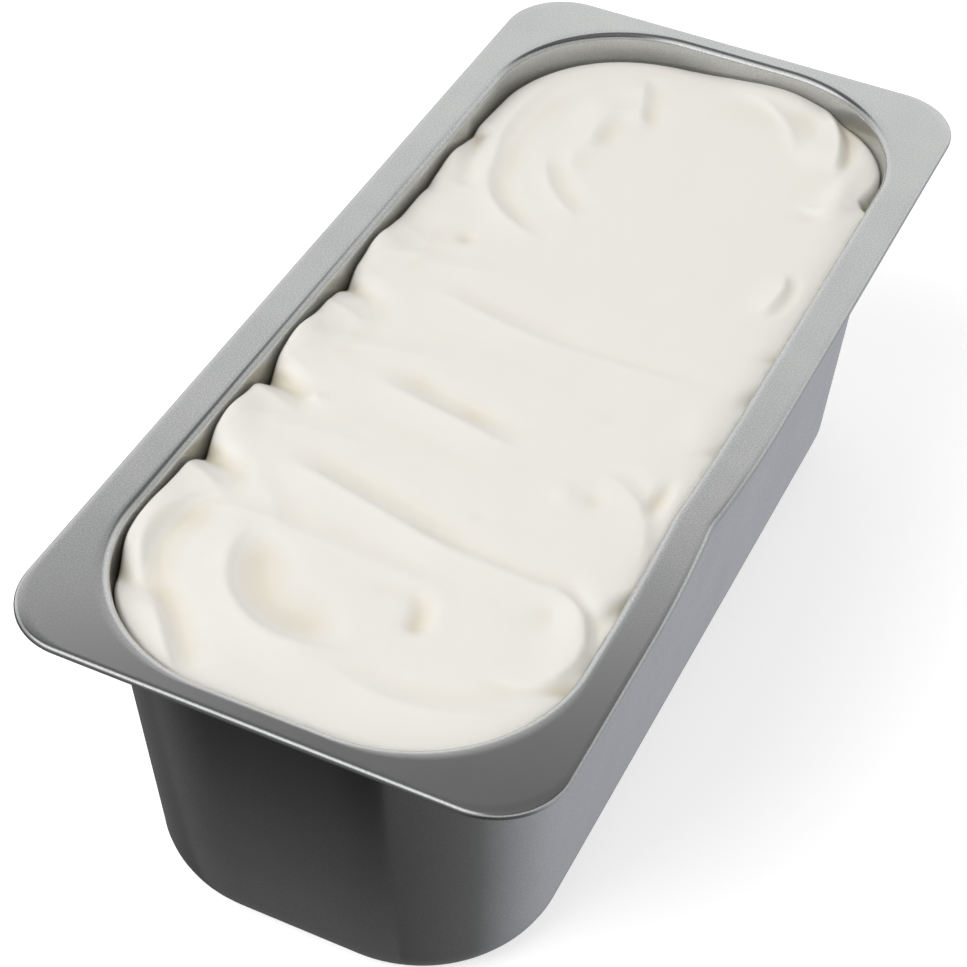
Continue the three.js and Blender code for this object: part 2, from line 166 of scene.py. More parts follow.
grid = add_node(tree, "GeometryNodeMeshGrid", {
    "Vertices X": sum(ROUND_COLUMNS.values()) + 1, "Vertices Y": sum(PROFILE_ROWS.values()) + 1})
along = add_node(tree, "ShaderNodeSeparateXYZ", {0: grid["UV Map"]})
progress = {}
for share, stretches in ((along["X"], ROUND_COLUMNS), (along["Y"], PROFILE_ROWS)):
    total = sum(stretches.values())
    start = 0
    for stretch, steps in stretches.items():
        progress[stretch] = add_node(tree, "ShaderNodeMapRange", {
            "Value": share, "From Min": start / total, "From Max": (start + steps) / total})[0]
        start += steps

arc_sine, arc_rise = {}, {}
for stretch in ("base edge", "bend", "lip"):
    angle = add_node(tree, "ShaderNodeMath", (progress[stretch], math.pi / 2), operation="MULTIPLY")[0]
    cosine = add_node(tree, "ShaderNodeMath", (angle,), operation="COSINE")[0]
    arc_sine[stretch] = add_node(tree, "ShaderNodeMath", (angle,), operation="SINE")[0]
    arc_rise[stretch] = add_node(tree, "ShaderNodeMath", (1.0, cosine), operation="SUBTRACT")[0]

plan = (0.0, 0.0, 0.0)
for share, growth in (
        (progress["floor"], "Floor flat"), (arc_sine["base edge"], "Base edge"),
        (progress["wall"], "Wall growth"), (arc_rise["bend"], "Wall bend"),
        (progress["flange"], "Flange growth"), (arc_sine["lip"], "Lip round")):
    plan = add_node(tree, "ShaderNodeVectorMath", (share, size[growth], plan), operation="MULTIPLY_ADD")[0]
climb = size["Floor height"]
for share, rise in (
        (arc_rise["base edge"], "Base edge"), (progress["wall"], "Wall height"),
        (arc_sine["bend"], "Wall bend")):
    climb = add_node(tree, "ShaderNodeMath", (share, size[rise], climb), operation="MULTIPLY_ADD")[0]
fall = 0.0
for share, drop in ((arc_rise["lip"], "Lip round"), (progress["drop"], "Lip drop")):
    fall = add_node(tree, "ShaderNodeMath", (share, size[drop], fall), operation="MULTIPLY_ADD")[0]
height = add_node(tree, "ShaderNodeMath", (climb, fall), operation="SUBTRACT")[0]

# where a column stands on its rounded rectangle: the middle of its corner, and the turn round it
turn, across, lengthways = 0.0, 1.0, -1.0
for stretch in ROUND_COLUMNS:
    if stretch.endswith("corner"):
        turn = add_node(tree, "ShaderNodeMath", (progress[stretch], math.pi / 2, turn),
                        operation="MULTIPLY_ADD")[0]
for stretch, way in (("far end", -2.0), ("near end", 2.0)):
    across = add_node(tree, "ShaderNodeMath", (progress[stretch], way, across), operation="MULTIPLY_ADD")[0]
for stretch, way in (("right side", 2.0), ("left side", -2.0)):
    lengthways = add_node(tree, "ShaderNodeMath", (progress[stretch], way, lengthways),
                          operation="MULTIPLY_ADD")[0]
half = add_node(tree, "ShaderNodeSeparateXYZ", {0: plan})
places = []
for half_size, side, wave in ((half["X"], across, "COSINE"), (half["Y"], lengthways, "SINE")):
    straight = add_node(tree, "ShaderNodeMath", (half_size, half["Z"]), operation="SUBTRACT")[0]
    middle = add_node(tree, "ShaderNodeMath", (straight, side), operation="MULTIPLY")[0]
    round_it = add_node(tree, "ShaderNodeMath", (turn,), operation=wave)[0]
    places.append(add_node(tree, "ShaderNodeMath", (round_it, half["Z"], middle),
                           operation="MULTIPLY_ADD")[0])
place_x, place_y = places

# the knock: deepest at the lip, fading along the flange and down the wall
from_dent = add_node(tree, "ShaderNodeMath", (place_y, size["Dent middle"]), operation="SUBTRACT")[0]
from_dent = add_node(tree, "ShaderNodeMath", (from_dent,), operation="ABSOLUTE")[0]
dent_along = add_node(tree, "ShaderNodeMapRange", {
    "Value": from_dent, "From Max": size["Dent reach"], "To Min": 1.0, "To Max": 0.0})[0]
below_rim = add_node(tree, "ShaderNodeMath", (size["Rim height"], height), operation="SUBTRACT")[0]
dent_down = add_node(tree, "ShaderNodeMapRange", {
    "Value": below_rim, "From Max": size["Dent fade down"], "To Min": 1.0, "To Max": 0.0})[0]
dent_push = add_node(tree, "ShaderNodeMapRange", {
    "Value": place_x, "From Min": size["Opening half width"], "From Max": size["Rim half width"],
    "To Min": size["Dent at wall"], "To Max": size["Dent at lip"]})[0]
right_hand = add_node(tree, "ShaderNodeMath", (place_x, 0.0), operation="GREATER_THAN")[0]
for share in (dent_along, dent_along, dent_down, dent_down, right_hand):
    dent_push = add_node(tree, "ShaderNodeMath", (dent_push, share), operation="MULTIPLY")[0]
place_x = add_node(tree, "ShaderNodeMath", (place_x, dent_push), operation="SUBTRACT")[0]

position = add_node(tree, "ShaderNodeCombineXYZ", (place_x, place_y, height))[0]
sheet = add_node(tree, "GeometryNodeSetPosition", {"Geometry": grid["Mesh"], "Position": position})[0]
sheet = add_node(tree, "GeometryNodeMergeByDistance", {"Geometry": sheet, "Distance": SEAM})[0]
sheet = add_node(tree, "GeometryNodeFlipFaces", {"Mesh": sheet})[0]
sheet = add_node(tree, "GeometryNodeSetShadeSmooth", {"Geometry": sheet})[0]
sheet = add_node(tree, "GeometryNodeRealizeInstances", {"Geometry": sheet})[0]
sheet = add_node(tree, "GeometryNodeSetMaterial", {"Geometry": sheet, "Material": steel})[0]
add_node(tree, "NodeGroupOutput", {"Pan": sheet})

pan = bpy.data.objects.new("steel_pan", bpy.data.meshes.new("steel_pan"))
bpy.context.scene.collection.objects.link(pan)
drawing = pan.modifiers.new("deep-drawn pan", "NODES")
drawing.node_group = tree
for name, value in pan_sizes.items():
    drawing[size_sockets[name]] = [float(v) for v in value] if np.size(value) == 3 else float(value)
thickness = pan.modifiers.new("sheet thickness", "SOLIDIFY")
thickness.thickness = SHEET
thickness.offset = -1
thickness.use_even_offset = True
pan_shape = bpy.data.meshes.new_from_object(pan.evaluated_get(bpy.context.evaluated_depsgraph_get()))
pan.modifiers.clear()
pan.data = pan_shape
pan_shape.set_sharp_from_angle(angle=math.radians(SHEET_EDGE_ANGLE))
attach(pan, "root")
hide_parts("pan")

# Ice cream: white, churned and soft when it was laid in with a spatula, stroke by stroke from the
# far end to the near one, so that each stroke's edge folds over the one before it.
# It holds to the pan by sticking to the wall, and bulges in lobes along the left side.

# sizes in millimetres: the gap to the steel, how far the surface lies below the rim at the near and
# the far end, half the length over which that changes, and the lowest that a cleft or hollow goes
CLEARANCE = 0.3
LEVEL_NEAR = 3.4
LEVEL_FAR = 6.45
LEVEL_RUN = 150
LOWEST = 17
LOWEST_BLEND = 2

# folds, in millimetres: start, middle and end of the crest in plan, its height, how far the high
# side slopes back, how wide the fall before the crest is and how far the hollow at its foot
# reaches; from start to end, the high side is on the right; the rise is the share of the height
# that stands above the level, the rest of it is hollow
FOLDS = [
    # round the smooth disc at the far end
    ((-53, 138), (-58.5, 110), (-51, 78), 3.4, 9, 8, 15),
    ((-54, 88), (-46, 65), (-24, 52), 2.9, 9, 6, 13),
    ((-39, 96), (-32, 81), (-15, 67), 2.4, 7, 6, 12),
    ((-27, 153), (-21.5, 138), (-17, 125), 3.0, 14, 6, 11),
    ((-24, 134), (-30, 121), (-27, 106), 3.2, 14, 7, 12),
    ((-28, 112), (-31, 102), (-28, 90), 1.2, 8, 6, 10),
    ((10, 162), (27, 151), (34, 136), 2.2, 6, 10, 14),
    ((36, 167), (46.5, 151), (50, 134), 5, 9, 4, 15),
    # tip of the ribbon in the far right corner, and a dab beside the right wall
    ((65, 121), (57, 110.5), (46, 107), 2, 10, 5, 10),
    ((56.5, 71), (58.5, 60), (56, 49), 4.2, 9, 4, 7),
    # far ends of the lobes along the left wall
    ((-73, 37.5), (-66, 37), (-52, 31), 1.2, 14, 9, 16),
    ((-73, -10), (-64, -10.5), (-50, -17), 2.2, 14, 9, 18),
    ((-73, -57), (-64, -57.5), (-50, -63), 2.6, 14, 9, 18),
    ((-73, -96), (-64, -97.5), (-50, -104), 2.8, 14, 9, 16),
    # near ends of the lobes along the left wall
    ((-49, 26), (-57.5, 22.5), (-67, 7), 1.8, 8, 6, 10),
    ((-49, -22), (-58, -26.5), (-67, -41), 1.8, 8, 6, 10),
    ((-50, -65.5), (-58, -68.5), (-66, -79), 1.5, 8, 6, 10),
    # strokes across the middle
    ((-60, 21), (-46, 24), (-22, 28.5), 0.8, 9, 7, 12),
    ((-38, 10.5), (-16, 6), (8, 2.5), 1.9, 16, 7, 12),
    ((0, 3.7), (24, 4), (54, 5.5), 0.7, 16, 3.5, 9),
    ((-60, -30), (-44, -23.5), (-18, -20), 1.0, 9, 8, 13),
    ((-36, -37), (-13, -41.5), (14, -46.5), 3.4, 14, 8, 14),
    ((44, -44.5), (59, -55), (65, -73), 1.6, 9, 5, 10),
    ((-60, -71), (-45, -67), (-22, -65.5), 0.9, 9, 8, 12),
    # the tongue before the near end, and its nose
    ((-41, -81.3), (-14, -87.5), (18, -94.5), 3.6, 14, 8, 14),
    ((2, -91.8), (28, -94), (54, -95.4), 1.4, 12, 4, 10),
    ((47, -93.5), (63.5, -107), (59, -130), 3.0, 10, 4, 9),
    ((65, -121), (60, -128), (46, -131.5), 1.6, 9, 4, 9),
    ((-50, -89), (-41, -95.5), (-31, -108), 0.9, 8, 6, 11),
    # the swirl at the near end
    ((-62, -114), (-50, -107.5), (-26, -107), 1.2, 10, 6, 11),
    ((-34, -106.6), (-6, -107.3), (26, -109.8), 0.7, 12, 6, 11),
    ((-38.5, -111), (-33.5, -133), (6, -142), 5, 14, 11, 26),
    ((8, -149.5), (40, -149.5), (64, -136.5), 2.0, 10, 7, 12),
    ((-55, -103), (-62.5, -121), (-51, -146), 5, 8, 6, 16),
    ((-50, -146), (-40, -157), (-28, -171), 4, 9, 6, 15),
]
FOLD_RISE = 0.3
FOLD_CREST = 1.2
FOLD_FALL_POWER = 1.5
FOLD_FADE = 20
FOLD_FADE_SHARE = 0.4
FOLD_OVERRUN = 0.3

# clefts between lobes: start, middle and end in plan, depth at the start and at the end, half width
CLEFTS = [
    # from the left wall inwards
    ((-65.5, 97), (-62.5, 85), (-58, 70), 3, 1.2, 4.5),
    ((-72, 62), (-66, 60.5), (-60, 58), 2.5, 0, 5),
    ((-72, 4), (-62, 1), (-46, -8), 6, 0, 7),
    ((-72, -47), (-61, -50), (-44, -57), 8, 0, 7),
    ((-72, -86), (-61, -89), (-46, -96), 8, 0, 7),
    # round the swirl at the near end
    ((-68, -139), (-60, -143), (-48, -145.5), 5.5, 1.5, 8),
    ((16, -113), (19.5, -118.5), (21, -124), 0.3, 1.6, 4.5),
    # from the right wall inwards
    ((72, 32), (67, 29.5), (58, 26), 2.5, 0, 4),
    ((72, 12), (67, 5), (63, -6), 3, 0, 5),
    ((72, -17), (66, -20.5), (54, -26), 2, 0, 4),
    ((71, -88), (66.5, -96), (65.5, -104), 4, 0.5, 4),
    ((72, -125), (65, -128), (58, -130), 3.5, 0.3, 3.5),
    # between the ribbon and the wall in the far right corner
    ((69, 122), (70.5, 140), (61, 166), 10, 7, 4.5),
]
CLEFT_ROUND = 2

# small marks of the spatula: middle in plan, radii along X and Y, depth (below 0 stands up)
MARKS = [
    (8, -115, 6, 4, 0.4), (-43, 41, 3, 3.5, 1), (-23, -31.5, 5, 4, 0.4), (-2, -37, 5, 3.5, 0.5),
    (-48, -53, 3, 2.5, -1.0), (44, -56, 3, 3.5, 0.6), (35.5, -58, 3.5, 4, -0.7), (33, -21, 3, 3, 0.25),
    (17, -77, 2.5, 2.5, 0.3), (51, -104, 4, 5, 0.35), (27, 44, 3, 3, -0.4), (-34, 128, 5, 9, -0.6),
    (42, 141, 5, 9, -1.0), (57, 118, 4, 12, -1.4), (-67, 24, 8, 9, -3.2), (-67, -29, 8, 10, -3.4),
    (-67, -71, 8, 9, -3.2), (-67, -118, 6, 15, -2.4), (-67, 79, 5, 9, -2.0), (60, -106, 4, 12, -0.6),
    (60, -12, 5, 8, -0.6), (-18, 134, 3, 5, 0.6), (-26, 118, 3, 6, 0.3), (61, -46, 2.5, 7, 1.6),
    (17, 168, 14, 8, -2.0),
]

# round shoulder along the walls: its width, its depth at each wall, and the nip close to the steel
SHOULDER_WIDTH = 11
SHOULDER_POWER = 2.4
SHOULDER_LEFT = 0.5
SHOULDER_RIGHT = 0.3
SHOULDER_NEAR = 0.3
SHOULDER_FAR = 1.6
SHOULDER_FAR_LEFT = 5.8
SIDE_RUN = (20, 60)
FAR_RUN = (110, 165)
NEAR_RUN = (120, 165)
FAR_LEFT_RUN = (85, 150)
LEFT_RUN = (-20, 40)
NIP_WIDTH = 2.5
NIP_LEFT = 5
NIP_RIGHT = 0.8


def ease(distance, start, end):
    """A soft step from 0 at start to 1 at end."""
    share = np.clip((distance - start) / (end - start), 0, 1)
    return share * share * (3 - 2 * share)


def soft_max(a, b, blend):
    """The larger of two heights, with a soft blend where they meet."""
    share = np.clip(0.5 + 0.5 * (a - b) / blend, 0, 1)
    return b + (a - b) * share + blend * share * (1 - share)


def along_arc(x, y, start, middle, end):
    """How far right of the arc through three points a place lies, how far along it, and its length."""
    a, b, c = (complex(*point) for point in (start, middle, end))
    twice_area = ((b - a).conjugate() * (c - a)).imag
    centre = a + 1j * ((b - a) * abs(c - a) ** 2 - (c - a) * abs(b - a) ** 2) / (2 * twice_area)
    radius = abs(a - centre)
    way = math.copysign(1, twice_area)
    point = x + 1j * y - centre
    full = 2 * math.pi
    span = way * np.angle((c - centre) / (a - centre)) % full
    turned = way * np.angle(point / (a - centre)) % full
    along = radius * np.where(turned > (full + span) / 2, turned - full, turned)
    return way * (np.abs(point) - radius), along, radius * span


def fold_height(x, y, start, middle, end, height, back, fall, hollow):
    """What one fold adds: a crest with a slope behind it and a fall to a hollow before it."""
    right, along, length = along_arc(x, y, start, middle, end)
    fade = min(FOLD_FADE, length * FOLD_FADE_SHARE)
    present = ease(along, -fade * FOLD_OVERRUN, fade * (1 - FOLD_OVERRUN))
    present *= ease(length - along, -fade * FOLD_OVERRUN, fade * (1 - FOLD_OVERRUN))
    behind, before = soft_max(right, 0, FOLD_CREST), soft_max(-right, 0, FOLD_CREST)
    down = np.clip(1 - before / fall, 0, 1) ** FOLD_FALL_POWER
    high = np.clip(1 - behind / back, 0, 1) ** 2
    low = np.clip(1 - before / hollow, 0, 1) ** 2
    return height * present * (FOLD_RISE * down * high - (1 - FOLD_RISE) * (1 - down) * low)


def cleft_depth(x, y, start, middle, end, depth_start, depth_end, half_width):
    """How deep one cleft cuts: sharp at the bottom, rounding off upwards into the lobes beside it."""
    right, along, length = along_arc(x, y, start, middle, end)
    share = np.clip(along / length, 0, 1)
    off = np.hypot(right, along - share * length)
    off = np.hypot(off, CLEFT_ROUND) - CLEFT_ROUND
    depth = depth_end + (depth_start - depth_end) * (1 - share) ** 2
    return depth * np.clip(1 - off / half_width, 0, 1) ** 2


def wall_face(z, thickness):
    """Half width, half length and corner of the face that lies a thickness inside the outer wall."""
    base, top = BASE_EDGE / MM, (DEPTH - WALL_BEND) / MM
    wall_top = (OPENING - WALL_BEND + SHEET) / MM
    up = ((np.maximum(z, base) - base) / (top - base))[..., None]
    radius = base - thickness
    below = np.clip(base - z, 0, radius)
    inset = thickness + radius - np.sqrt(radius ** 2 - below ** 2)
    return FOOT / MM + (wall_top - FOOT / MM) * up - inset[..., None]


def ice_height(x, y):
    """Height of the ice cream's surface over a point in plan, in millimetres."""
    surface = -(LEVEL_NEAR + (LEVEL_FAR - LEVEL_NEAR) * ease(y, -LEVEL_RUN, LEVEL_RUN))
    for fold in FOLDS:
        surface += fold_height(x, y, *fold)
    for cleft in CLEFTS:
        surface -= cleft_depth(x, y, *cleft)
    for mark_x, mark_y, radius_x, radius_y, depth in MARKS:
        surface -= depth * np.exp(-((x - mark_x) / radius_x) ** 2 - ((y - mark_y) / radius_y) ** 2)
    half_x, half_y, corner = wall_face(np.array((DEPTH - WALL_BEND) / MM), SHEET / MM)
    out_x, out_y = np.abs(x) - (half_x - corner), np.abs(y) - (half_y - corner)
    inside = corner - np.hypot(np.maximum(out_x, 0), np.maximum(out_y, 0))
    inside -= np.minimum(np.maximum(out_x, out_y), 0)
    left_half = ease(-x, *LEFT_RUN)
    shoulder = np.maximum(SHOULDER_LEFT * ease(-x, *SIDE_RUN) + SHOULDER_RIGHT * ease(x, *SIDE_RUN),
                          SHOULDER_FAR * ease(y, *FAR_RUN) + SHOULDER_NEAR * ease(-y, *NEAR_RUN))
    shoulder = np.maximum(shoulder, SHOULDER_FAR_LEFT * ease(y, *FAR_LEFT_RUN) * left_half)
    surface -= shoulder * np.clip(1 - inside / SHOULDER_WIDTH, 0, 1) ** SHOULDER_POWER
    nip = NIP_RIGHT + (NIP_LEFT - NIP_RIGHT) * left_half
    surface -= nip * np.clip(1 - inside / NIP_WIDTH, 0, 1) ** 2
    return DEPTH / MM + soft_max(surface, -LOWEST, LOWEST_BLEND)


# rows end on the rounded-rectangle outline, closer together round the corners; every point is drawn
# in with the taper of the wall at its own height, and the knock's push dies out away from the wall
COLUMNS, CORNER_ROWS, SIDE_ROWS, WALL_STEPS = 176, 60, 300, 8
ROWS = 2 * CORNER_ROWS + SIDE_ROWS
DENT_SPREAD = 20


def grid_point(column, row, outline):
    """Where a column and a row of the ice cream's grid meet within a rounded rectangle."""
    half_x, half_y, corner = np.moveaxis(outline, -1, 0)
    angle = np.minimum(np.minimum(row, ROWS - row) / CORNER_ROWS, 1) * math.pi / 2
    along = (2 * row - ROWS) / SIDE_ROWS
    half_row = half_x - corner * (1 - np.sin(angle))
    end_round = np.where(np.abs(along) > 1, np.sign(along) * corner * np.cos(angle), 0)
    y = np.clip(along, -1, 1) * (half_y - corner) + end_round
    return half_row * (2 * column / COLUMNS - 1), y


def dent_in(x, y, z):
    """How far the knock pushes a point of the right-hand wall in, in millimetres."""
    along_wall = np.clip(1 - np.abs(y - DENT_Y / MM) / (DENT_REACH / MM), 0, 1) ** 2
    down_wall = np.clip(1 - (DEPTH / MM - z) / (DENT_FADE_DOWN / MM), 0, 1) ** 2
    return np.where(x > 0, along_wall * down_wall * DENT_AT_WALL / MM, 0)


gap = SHEET / MM + CLEARANCE
column, row = np.meshgrid(np.arange(COLUMNS + 1), np.arange(ROWS + 1))
level_outline = wall_face(np.full(row.shape, DEPTH / MM - LEVEL_FAR), gap)
surface_z = ice_height(*grid_point(column, row, level_outline))
surface_x, surface_y = grid_point(column, row, wall_face(surface_z, gap))
surface_x -= dent_in(surface_x, surface_y, surface_z) * (column / COLUMNS) ** DENT_SPREAD
points = [np.stack((surface_x, surface_y, surface_z), axis=-1).reshape(-1, 3)]

number = np.arange(column.size).reshape(column.shape)
quads = np.stack((number[:-1, :-1], number[:-1, 1:], number[1:, 1:], number[1:, :-1]), axis=-1)
faces = quads.reshape(-1, 4).tolist()
edge = np.concatenate((number[:-1, -1], number[-1, :0:-1], number[:0:-1, 0], number[0, :-1]))
edge_column, edge_row = column.ravel()[edge], row.ravel()[edge]
edge_z = surface_z.ravel()[edge]
ring = edge
base_top = BASE_EDGE / MM
for step in range(1, 2 * WALL_STEPS + 1):
    if step <= WALL_STEPS:
        ring_z = edge_z + (base_top - edge_z) * step / WALL_STEPS
    else:
        turned = (step - WALL_STEPS) / WALL_STEPS * math.pi / 2
        ring_z = np.full(edge.shape, base_top - (base_top - gap) * math.sin(turned))
    ring_x, ring_y = grid_point(edge_column, edge_row, wall_face(ring_z, gap))
    new_ring = sum(map(len, points)) + np.arange(len(edge))
    points.append(np.stack((ring_x - dent_in(ring_x, ring_y, ring_z), ring_y, ring_z), axis=-1))
    faces += np.stack((ring, new_ring, np.roll(new_ring, -1), np.roll(ring, -1)), axis=-1).tolist()
    ring = new_ring
faces.append(ring[::-1].tolist())

# how far each point of the surface lies below what is round it, for the painted shade in the hollows
HOLLOW_REACH = 20           # steps of the grid
window = np.ones(2 * HOLLOW_REACH + 1) / (2 * HOLLOW_REACH + 1)
around = np.pad(surface_z, HOLLOW_REACH, mode="edge")
for axis in (0, 1):
    around = np.apply_along_axis(np.convolve, axis, around, window, "valid")
hollow_depth = np.zeros(sum(map(len, points)))
hollow_depth[:around.size] = (around - surface_z).ravel()

# Plain dairy ice cream, frozen and slightly moist: light goes a few millimetres in and comes back
# warmer. Its hollows are painted a darker, warmer cream as painted shade, deeper where they are deeper.
CREAM = "#faf7ef"
# painted shade: the darker, warmer cream that the hollows are mixed towards
CREAM_HOLLOW = "#ede6d4"
CREAM_HOLLOW_FULL = 1.5     # depth in millimetres at which a hollow has all of its tint
CREAM_DEPTH = 1.5 * MM      # how far light spreads inside
CREAM_SPREAD = (1.0, 0.85, 0.6)     # share of that for red, green and blue
CREAM_ROUGHNESS = (0.5, 0.62)
CREAM_PATCH = 16 * MM
CREAM_CRYSTAL = 1.1 * MM    # ice crystals are finer: drawn this coarse so that they show
CREAM_CRYSTAL_DEPTH = 0.05 * MM
CREAM_CRYSTAL_BUMP = 0.12
CREAM_IOR = 1.35
CREASE_ANGLE = 70           # degrees

cream = bpy.data.materials.new("white dairy ice cream")
cream.use_nodes = True
cream.node_tree.nodes.clear()
place = add_node(cream.node_tree, "ShaderNodeTexCoord")["Object"]
patch = add_node(cream.node_tree, "ShaderNodeTexNoise",
                 {"Vector": place, "Scale": 1 / CREAM_PATCH, "Detail": 3.0})[0]
crystal = add_node(cream.node_tree, "ShaderNodeTexNoise",
                   {"Vector": place, "Scale": 1 / CREAM_CRYSTAL, "Detail": 2.0})[0]
# painted shade: each point's hollow depth mixes the cream towards the darker hollow colour
hollow = add_node(cream.node_tree, "ShaderNodeAttribute", attribute_name="hollow")["Fac"]
hollow = add_node(cream.node_tree, "ShaderNodeMapRange",
                  {"Value": hollow, "From Min": 0.0, "From Max": CREAM_HOLLOW_FULL})[0]
colour = add_node(cream.node_tree, "ShaderNodeMix",
                  {0: hollow, 6: linear(CREAM), 7: linear(CREAM_HOLLOW)}, data_type="RGBA")[2]
roughness = add_node(cream.node_tree, "ShaderNodeMapRange", {
    "Value": patch, "From Min": NOISE_LOW, "From Max": NOISE_HIGH,
    "To Min": CREAM_ROUGHNESS[0], "To Max": CREAM_ROUGHNESS[1]})[0]
bump = add_node(cream.node_tree, "ShaderNodeBump",
                {"Height": crystal, "Strength": CREAM_CRYSTAL_BUMP, "Distance": CREAM_CRYSTAL_DEPTH})[0]
surface = add_node(cream.node_tree, "ShaderNodeBsdfPrincipled", {
    "Base Color": colour, "Roughness": roughness, "IOR": CREAM_IOR, "Normal": bump,
    "Subsurface Weight": 1.0, "Subsurface Radius": CREAM_SPREAD,
    "Subsurface Scale": CREAM_DEPTH}, subsurface_method="BURLEY")[0]
add_node(cream.node_tree, "ShaderNodeOutputMaterial", {"Surface": surface})

ice_shape = bpy.data.meshes.new("folded_ice_cream")
ice_shape.from_pydata((np.concatenate(points) * MM).tolist(), [], faces)
ice_shape.shade_smooth()
ice_shape.set_sharp_from_angle(angle=math.radians(CREASE_ANGLE))
ice_shape.attributes.new("hollow", "FLOAT", "POINT").data.foreach_set("value", hollow_depth)
ice_shape.materials.append(cream)
ice_cream = bpy.data.objects.new("folded_ice_cream", ice_shape)
bpy.context.scene.collection.objects.link(ice_cream)
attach(ice_cream, "root")
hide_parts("ice_cream")

# Studio: a plain matt white table, lit a little from below, and soft light from two large panels.
# The steel mirrors neither of them: it mirrors a glowing board of painted reflection and the room, which
# is brightest low down at the far left, and dim overhead and below the horizon.
FLOOR_SIZE = 6.0
FLOOR_WHITE = "#f4f4f4"
FLOOR_ROUGHNESS = 0.9
FLOOR_GLOW = 0.5
floor_paint = bpy.data.materials.new("matt white table")
floor_paint.use_nodes = True
floor_paint.cycles.emission_sampling = "NONE"
floor_surface = floor_paint.node_tree.nodes["Principled BSDF"]
floor_surface.inputs["Base Color"].default_value = linear(FLOOR_WHITE)
floor_surface.inputs["Roughness"].default_value = FLOOR_ROUGHNESS
floor_surface.inputs["Emission Color"].default_value = linear("#ffffff")
floor_surface.inputs["Emission Strength"].default_value = FLOOR_GLOW
half_floor = FLOOR_SIZE / 2
floor_shape = bpy.data.meshes.new("table")
floor_shape.from_pydata(
    [(-half_floor, -half_floor, 0), (half_floor, -half_floor, 0),
     (half_floor, half_floor, 0), (-half_floor, half_floor, 0)], [], [(0, 1, 2, 3)])
floor_shape.materials.append(floor_paint)
floor = bpy.data.objects.new("table", floor_shape)
floor.visible_glossy = False
bpy.context.scene.collection.objects.link(floor)

# painted reflection: a glowing board that only the steel mirrors, a dark stand-in for the shaded table
# before the near wall; it lies there and is darker away from it
BOARD_LEFT, BOARD_RIGHT, BOARD_NEAR, BOARD_FAR = -120 * MM, 34 * MM, -232 * MM, -158 * MM
BOARD_Z = 1 * MM
BOARD_BRIGHT = 0.13
board_paint = bpy.data.materials.new("board with painted reflection")
board_paint.use_nodes = True
board_paint.node_tree.nodes.clear()
board_paint.cycles.emission_sampling = "NONE"
place = add_node(board_paint.node_tree, "ShaderNodeTexCoord")["Object"]
inward = add_node(board_paint.node_tree, "ShaderNodeSeparateXYZ", {0: place})["Y"]
# painted reflection: the board glows most next to the pan and fades to nothing away from it
shade = add_node(board_paint.node_tree, "ShaderNodeMapRange", {
    "Value": inward, "From Min": BOARD_NEAR, "From Max": BOARD_FAR, "To Max": BOARD_BRIGHT})[0]
shine = add_node(board_paint.node_tree, "ShaderNodeEmission", {"Color": shade})[0]
add_node(board_paint.node_tree, "ShaderNodeOutputMaterial", {"Surface": shine})
board_shape = bpy.data.meshes.new("board")
board_shape.from_pydata(
    [(BOARD_LEFT, BOARD_NEAR, BOARD_Z), (BOARD_RIGHT, BOARD_NEAR, BOARD_Z),
     (BOARD_RIGHT, BOARD_FAR, BOARD_Z), (BOARD_LEFT, BOARD_FAR, BOARD_Z)], [], [(0, 1, 2, 3)])
board_shape.materials.append(board_paint)
board = bpy.data.objects.new("board", board_shape)
board.visible_camera = board.visible_diffuse = board.visible_shadow = False
bpy.context.scene.collection.objects.link(board)

# brightness of the room by height above the horizon, the way to its bright side, the cosines between
# which it dims and the share left beyond them; then the brightness below the horizon from the front
# left to the back right, and the heights between which the two blend
SKY = [(0.0, 1.0), (0.53, 1.05), (0.6, 0.9), (0.65, 0.88), (0.69, 1.0), (0.71, 0.36), (0.74, 0.08),
       (1.0, 0.4)]
SKY_WAY = (-0.4, 0.92, 0.0)
SKY_DIM, SKY_FULL = 0.3, 0.6
SKY_LEAST = 0.6
GROUND = [(0.0, 0.25), (0.12, 0.18), (0.24, 0.06), (0.6, 0.15), (0.8, (0.5, 0.5, 0.54)),
          (1.0, (0.5, 0.5, 0.54))]
GROUND_WAY = (0.6, 0.75, 0.0)
HORIZON_LOW, HORIZON_HIGH = -0.15, 0.05
# a soft glow that the steel mirrors in place of the panels, where it stands, and the cosines of its
# outer edge and of its full part
GLOW = 0.9
GLOW_WAY = (-0.38, -0.62, 0.69)
GLOW_EDGE, GLOW_FULL = 0.8, 0.96
world = bpy.data.worlds.new("studio")
world.use_nodes = True
world.node_tree.nodes.clear()
bpy.context.scene.world = world
way = add_node(world.node_tree, "ShaderNodeTexCoord")["Generated"]
up = add_node(world.node_tree, "ShaderNodeSeparateXYZ", {0: way})["Z"]
aside = add_node(world.node_tree, "ShaderNodeVectorMath", (way, GROUND_WAY), operation="DOT_PRODUCT")[1]
aside = add_node(world.node_tree, "ShaderNodeMapRange",
                 {"Value": aside, "From Min": -1.0, "From Max": 1.0})[0]
ramps = []
for share, stops in ((up, SKY), (aside, GROUND)):
    ramp = add_node(world.node_tree, "ShaderNodeValToRGB", {0: share})[0]
    elements = ramp.node.color_ramp.elements
    for position, _ in stops[1:-1]:
        elements.new(position)
    for element, (position, bright) in zip(elements, stops):
        element.position = position
        element.color = (*np.ones(3) * bright, 1)
    ramps.append(ramp)
to_back = add_node(world.node_tree, "ShaderNodeVectorMath", (way, SKY_WAY), operation="DOT_PRODUCT")[1]
to_back = add_node(world.node_tree, "ShaderNodeMapRange", {
    "Value": to_back, "From Min": SKY_DIM, "From Max": SKY_FULL, "To Min": SKY_LEAST, "To Max": 1.0})[0]
sky = add_node(world.node_tree, "ShaderNodeVectorMath", (ramps[0], to_back), operation="MULTIPLY")[0]
to_glow = add_node(world.node_tree, "ShaderNodeVectorMath", (way, GLOW_WAY), operation="DOT_PRODUCT")[1]
